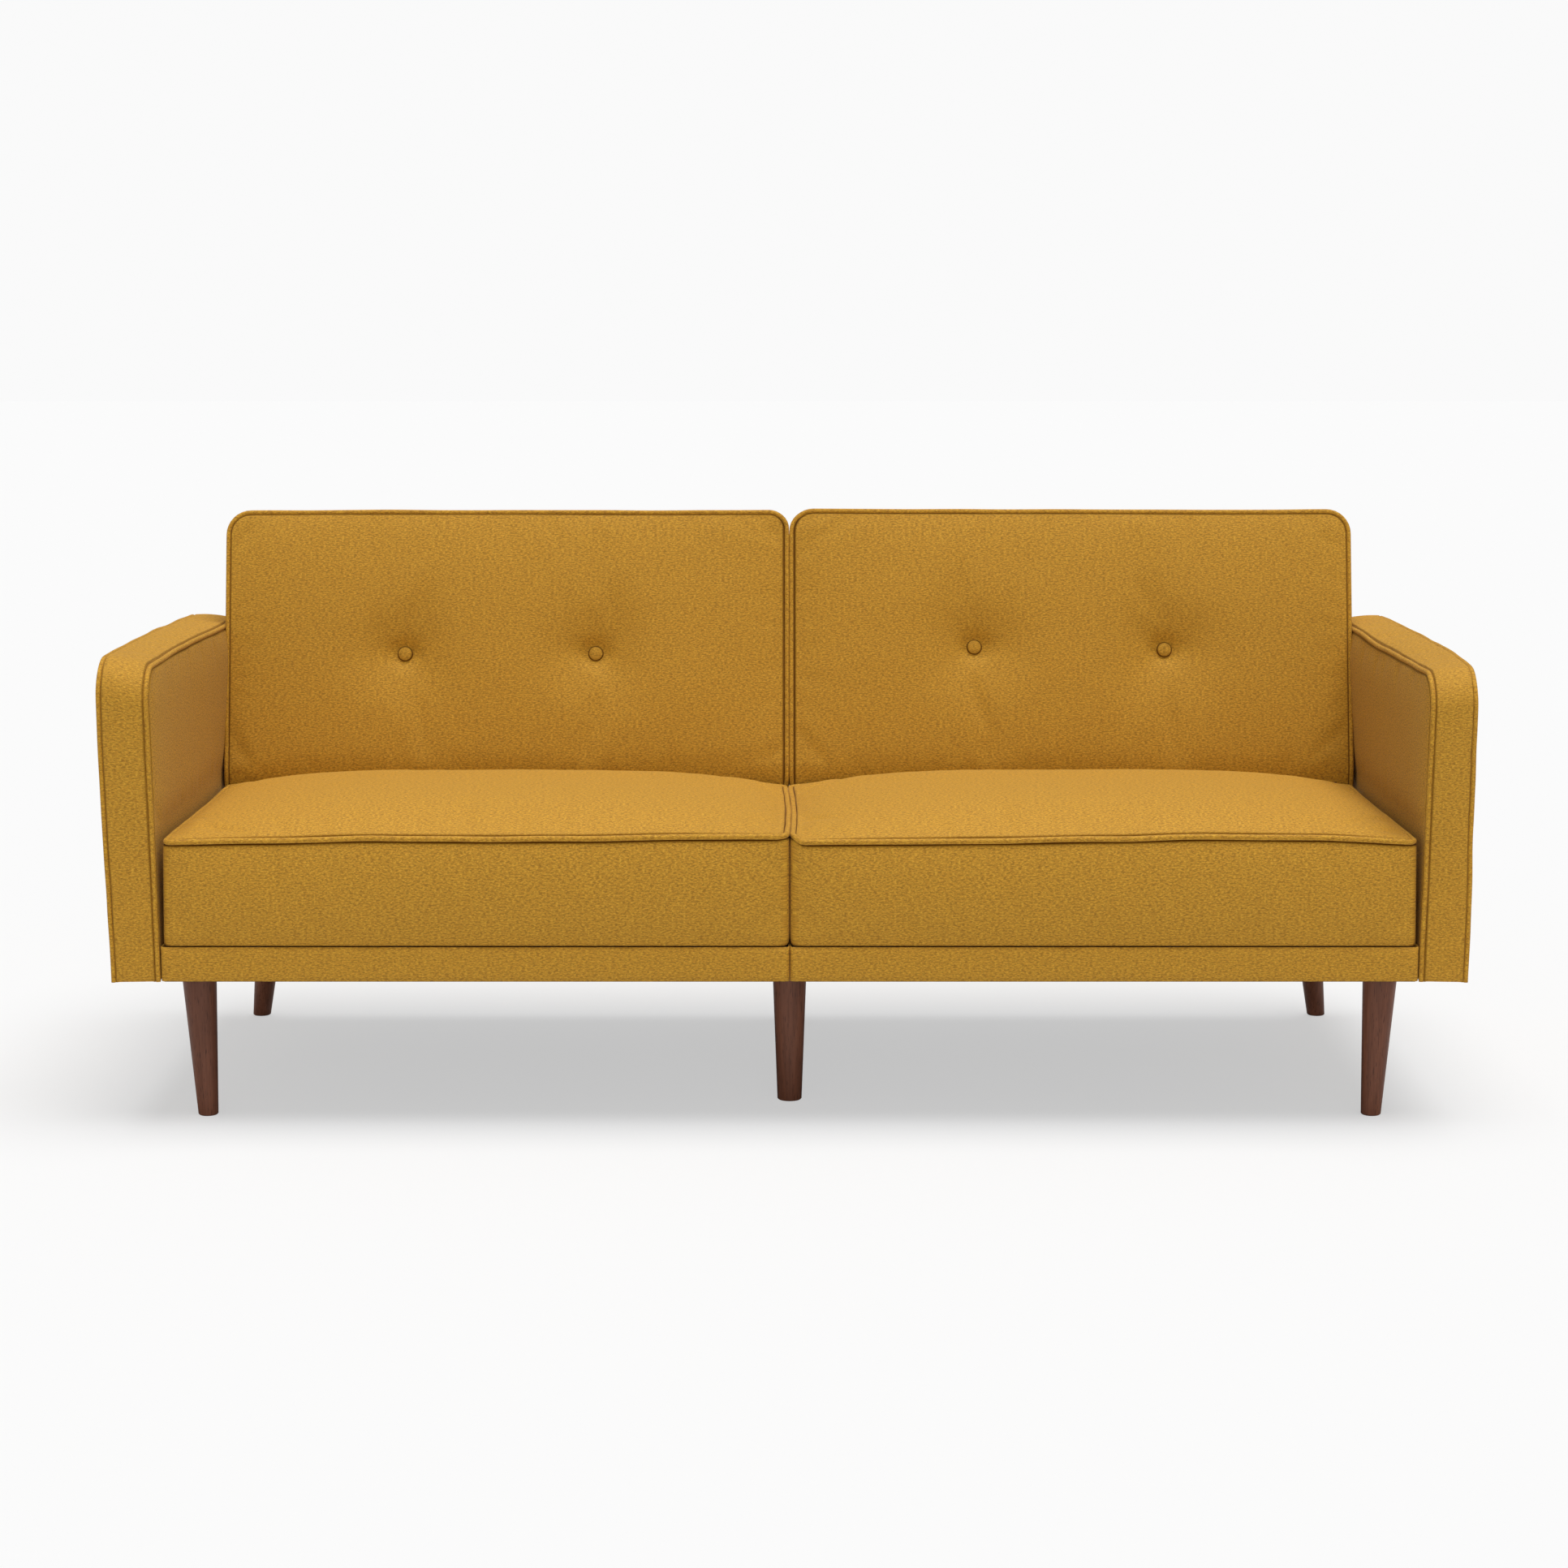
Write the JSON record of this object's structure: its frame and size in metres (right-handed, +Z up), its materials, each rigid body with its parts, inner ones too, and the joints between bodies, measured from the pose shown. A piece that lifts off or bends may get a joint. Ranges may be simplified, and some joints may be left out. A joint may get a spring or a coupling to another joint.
{
  "type": "sofa bed",
  "caption": "Split-back sofa bed with piped upholstered arms, buttoned backs that recline flat separately, and turned tapered wooden legs.",
  "frame": {"origin": "on the floor under the middle of the sofa's footprint", "axes": "+X to the right as seen from the front, +Y to the back, +Z up; the seat faces -Y"},
  "size_m": [1.8998, 0.7703, 0.8204],
  "materials": {
    "black_underlining": "matte",
    "bolt_steel": "satin",
    "bracket_steel": "satin",
    "clip_plastic": "matte",
    "foam": "matte",
    "frame_wood": "matte",
    "mustard_cloth": "matte",
    "mustard_piping": "matte",
    "spring_steel": "satin",
    "walnut_stained_wood": "satin",
    "webbing": "matte"
  },
  "bodies": {
    "base": {"arm_bolts": "bolt_steel", "centre_leg_plates": "bracket_steel", "front_centre_leg": "walnut_stained_wood", "front_left_leg": "walnut_stained_wood", "front_right_leg": "walnut_stained_wood", "left_arm_cover": "mustard_cloth", "left_arm_frame": "frame_wood", "left_arm_padding": "foam", "left_arm_piping": "mustard_piping", "left_base_band": "mustard_cloth", "left_cross_rail": "frame_wood", "left_dust_cover": "black_underlining", "left_front_rail": "frame_wood", "left_hinge_pivots": "bolt_steel", "left_hinge_seat_brackets": "bracket_steel", "left_rear_rail": "frame_wood", "left_seat_cover": "mustard_cloth", "left_seat_foam": "foam", "left_seat_piping": "mustard_piping", "left_seat_springs": "spring_steel", "left_side_rails": "frame_wood", "leg_blocks": "frame_wood", "leg_bolts": "bolt_steel", "module_joining_bolts": "bolt_steel", "rear_centre_leg": "walnut_stained_wood", "rear_left_leg": "walnut_stained_wood", "rear_right_leg": "walnut_stained_wood", "right_arm_cover": "mustard_cloth", "right_arm_frame": "frame_wood", "right_arm_padding": "foam", "right_arm_piping": "mustard_piping", "right_base_band": "mustard_cloth", "right_cross_rail": "frame_wood", "right_dust_cover": "black_underlining", "right_front_rail": "frame_wood", "right_hinge_pivots": "bolt_steel", "right_hinge_seat_brackets": "bracket_steel", "right_rear_rail": "frame_wood", "right_seat_cover": "mustard_cloth", "right_seat_foam": "foam", "right_seat_piping": "mustard_piping", "right_seat_springs": "spring_steel", "right_side_rails": "frame_wood", "spring_clips": "clip_plastic"},
    "left_back": {"left_back_buttons": "mustard_cloth", "left_back_cover": "mustard_cloth", "left_back_foam": "foam", "left_back_frame": "frame_wood", "left_back_piping": "mustard_piping", "left_back_webbing": "webbing", "left_hinge_back_brackets": "bracket_steel"},
    "right_back": {"right_back_buttons": "mustard_cloth", "right_back_cover": "mustard_cloth", "right_back_foam": "foam", "right_back_frame": "frame_wood", "right_back_piping": "mustard_piping", "right_back_webbing": "webbing", "right_hinge_back_brackets": "bracket_steel"}
  },
  "joints": [
    {"name": "left_back_recline", "type": "hinge", "parent": "base", "child": "left_back", "pos_m": [-0.43679, 0.164, 0.388], "axis": [-1, 0, 0], "range_deg": [-7, 76.3]},
    {"name": "right_back_recline", "type": "hinge", "parent": "base", "child": "right_back", "pos_m": [0.43679, 0.164, 0.388], "axis": [-1, 0, 0], "range_deg": [-7, 76.3]}
  ]
}
